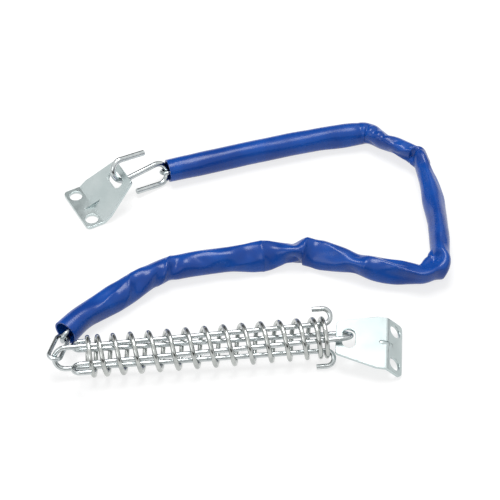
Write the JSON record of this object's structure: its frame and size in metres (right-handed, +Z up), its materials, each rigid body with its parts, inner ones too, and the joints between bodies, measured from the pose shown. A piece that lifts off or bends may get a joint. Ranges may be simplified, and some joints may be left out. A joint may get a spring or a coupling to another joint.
{
  "type": "door crash chain",
  "caption": "Spring-loaded limit chain for an outward-opening door: chain in a soft sleeve, drawbar compression spring, open S-hook and a pressed screw bracket at each end.",
  "frame": {"origin": "middle of the frame bracket's mounting face, which lies on the bench", "axes": "+Z up from the bench; +X along the compression spring's axis, from the chain's end to the door bracket; the part lies on the bench as it comes out of its box"},
  "size_m": [0.1976, 0.1649, 0.0214],
  "materials": {
    "bracket_zinc": "pressed steel sheet, bright zinc plating",
    "wire_zinc": "drawn steel wire, bright zinc plating",
    "spring_zinc": "spring steel wire, bright zinc plating",
    "chain_zinc": "welded steel links, bright zinc plating",
    "blue_vinyl": "soft glossy vinyl, creased where it is folded"
  },
  "bodies": {
    "spring_unit": {"drawbar_chain": "wire_zinc", "compression_spring": "spring_zinc", "chain_link_01": "chain_zinc"},
    "door_bar": {"drawbar_door": "wire_zinc"},
    "door_plate": {"bracket_door": "bracket_zinc"},
    "lower_run": {"chain_link_02": "chain_zinc", "chain_link_03": "chain_zinc", "chain_link_04": "chain_zinc", "chain_link_05": "chain_zinc", "chain_link_06": "chain_zinc", "chain_link_07": "chain_zinc", "chain_link_08": "chain_zinc", "chain_link_09": "chain_zinc", "chain_link_10": "chain_zinc", "chain_link_11": "chain_zinc", "chain_link_12": "chain_zinc", "chain_link_13": "chain_zinc", "vinyl_sleeve": "blue_vinyl"},
    "middle_run": {"chain_link_14": "chain_zinc", "chain_link_15": "chain_zinc", "chain_link_16": "chain_zinc", "chain_link_17": "chain_zinc", "chain_link_18": "chain_zinc"},
    "upper_run": {"chain_link_19": "chain_zinc", "chain_link_20": "chain_zinc", "chain_link_21": "chain_zinc", "chain_link_22": "chain_zinc", "chain_link_23": "chain_zinc", "chain_link_24": "chain_zinc", "chain_link_25": "chain_zinc", "chain_link_26": "chain_zinc", "chain_link_27": "chain_zinc"},
    "hook": {"s_hook": "wire_zinc"},
    "frame_plate": {"bracket_frame": "bracket_zinc"}
  },
  "joints": [
    {"name": "spring_stroke", "type": "slide", "parent": "spring_unit", "child": "door_bar", "axis": [1, 0, 0], "range_m": [0, 0.055], "deforming": ["compression_spring"]},
    {"name": "door_bracket_swing", "type": "hinge", "parent": "door_bar", "child": "door_plate", "pos_m": [0.11772, -0.1044, 0.00975], "axis": [0, -0.809, 0.5878], "range_deg": [-6, 20]},
    {"name": "chain_swing", "type": "hinge", "parent": "spring_unit", "child": "lower_run", "pos_m": [-0.01211, -0.08909, 0.00717], "axis": [0.9238, -0.3196, -0.2109], "range_deg": [0, 60]},
    {"name": "lower_fold", "type": "hinge", "parent": "lower_run", "child": "middle_run", "pos_m": [0.15752, -0.0665, 0.00623], "axis": [0, 0, 1], "range_deg": [-45, 8], "deforming": ["vinyl_sleeve"]},
    {"name": "upper_fold", "type": "hinge", "parent": "middle_run", "child": "upper_run", "pos_m": [0.17066, 0.0107, 0.00616], "axis": [0, 0, 1], "range_deg": [-45, 8], "deforming": ["vinyl_sleeve"]},
    {"name": "hook_swing", "type": "hinge", "parent": "upper_run", "child": "hook", "pos_m": [0.04256, 0.01729, 0.00529], "axis": [-0.0874, 0.4524, 0.8875], "range_deg": [-20, 20]},
    {"name": "frame_bracket_swing", "type": "hinge", "parent": "hook", "child": "frame_plate", "pos_m": [0.02033, 0.00987, 0.01543], "axis": [0.458, -0.773, 0.439], "range_deg": [-15, 30]}
  ]
}
